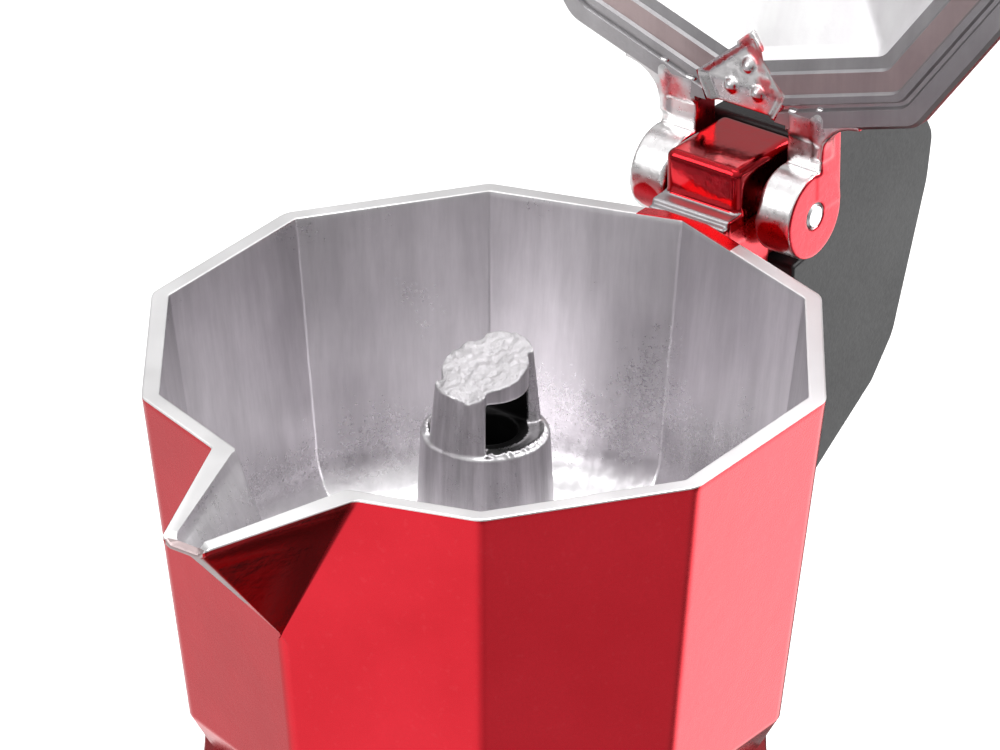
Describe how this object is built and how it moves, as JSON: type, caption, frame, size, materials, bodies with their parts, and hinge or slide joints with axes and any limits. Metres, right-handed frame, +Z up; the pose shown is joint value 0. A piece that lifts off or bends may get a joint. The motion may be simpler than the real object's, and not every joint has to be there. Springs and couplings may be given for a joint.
{
  "type": "moka pot",
  "caption": "Stovetop coffee maker: ten-sided cast pot that unscrews into boiler and pouring chamber, with funnel, filter, safety valve, hinged lid and handle.",
  "frame": {"origin": "centre of the boiler's flat base, on the surface it stands on", "axes": "+Z up along the pot's axis, +X from the axis to the hinge and handle (the spout is on -X), Y = 0 halves the pot"},
  "size_m": [0.1414, 0.0898, 0.2208],
  "materials": {
    "red_anodised": "red anodised satin",
    "bare_aluminium": "satin cast",
    "steel": "bright",
    "brass": "turned",
    "black_plastic": "moulded satin",
    "seal_rubber": "soft matt"
  },
  "bodies": {
    "boiler": {"boiler": "red_anodised", "valve_washer": "steel", "valve_body": "brass", "valve_cap": "steel", "valve_spring": "steel", "funnel": "bare_aluminium", "funnel_strainer": "bare_aluminium"},
    "valve_stem": {"valve_stem": "brass"},
    "seal": {"gasket": "seal_rubber", "filter_plate": "bare_aluminium"},
    "upper": {"upper_chamber": "red_anodised", "hinge_pin": "steel", "handle": "black_plastic", "handle_pin": "steel"},
    "lid": {"lid": "red_anodised", "knob_washer": "steel", "knob_screw": "steel", "knob": "black_plastic"}
  },
  "joints": [
    {"name": "upper_lift", "type": "slide", "parent": "boiler", "child": "seal", "axis": [0, 0, 1], "range_m": [0, 0.0081]},
    {"name": "upper_turn", "type": "hinge", "parent": "seal", "child": "upper", "pos_m": [0, 0, 0.066], "axis": [0, 0, 1], "range_deg": [0, 720]},
    {"name": "lid_hinge", "type": "hinge", "parent": "upper", "child": "lid", "pos_m": [0.0512, 0, 0.1256], "axis": [0, 1, 0], "range_deg": [-90, 0]},
    {"name": "valve_lift", "type": "slide", "parent": "boiler", "child": "valve_stem", "axis": [0, -1, 0], "range_m": [0, 0.0015], "stiffness_N_per_m": 1500, "springref_m": -0.001, "deforming": ["valve_spring"]}
  ],
  "couplings": [
    {"joint": "upper_lift", "follows": "upper_turn", "m_per_rad": 0.00063662}
  ]
}
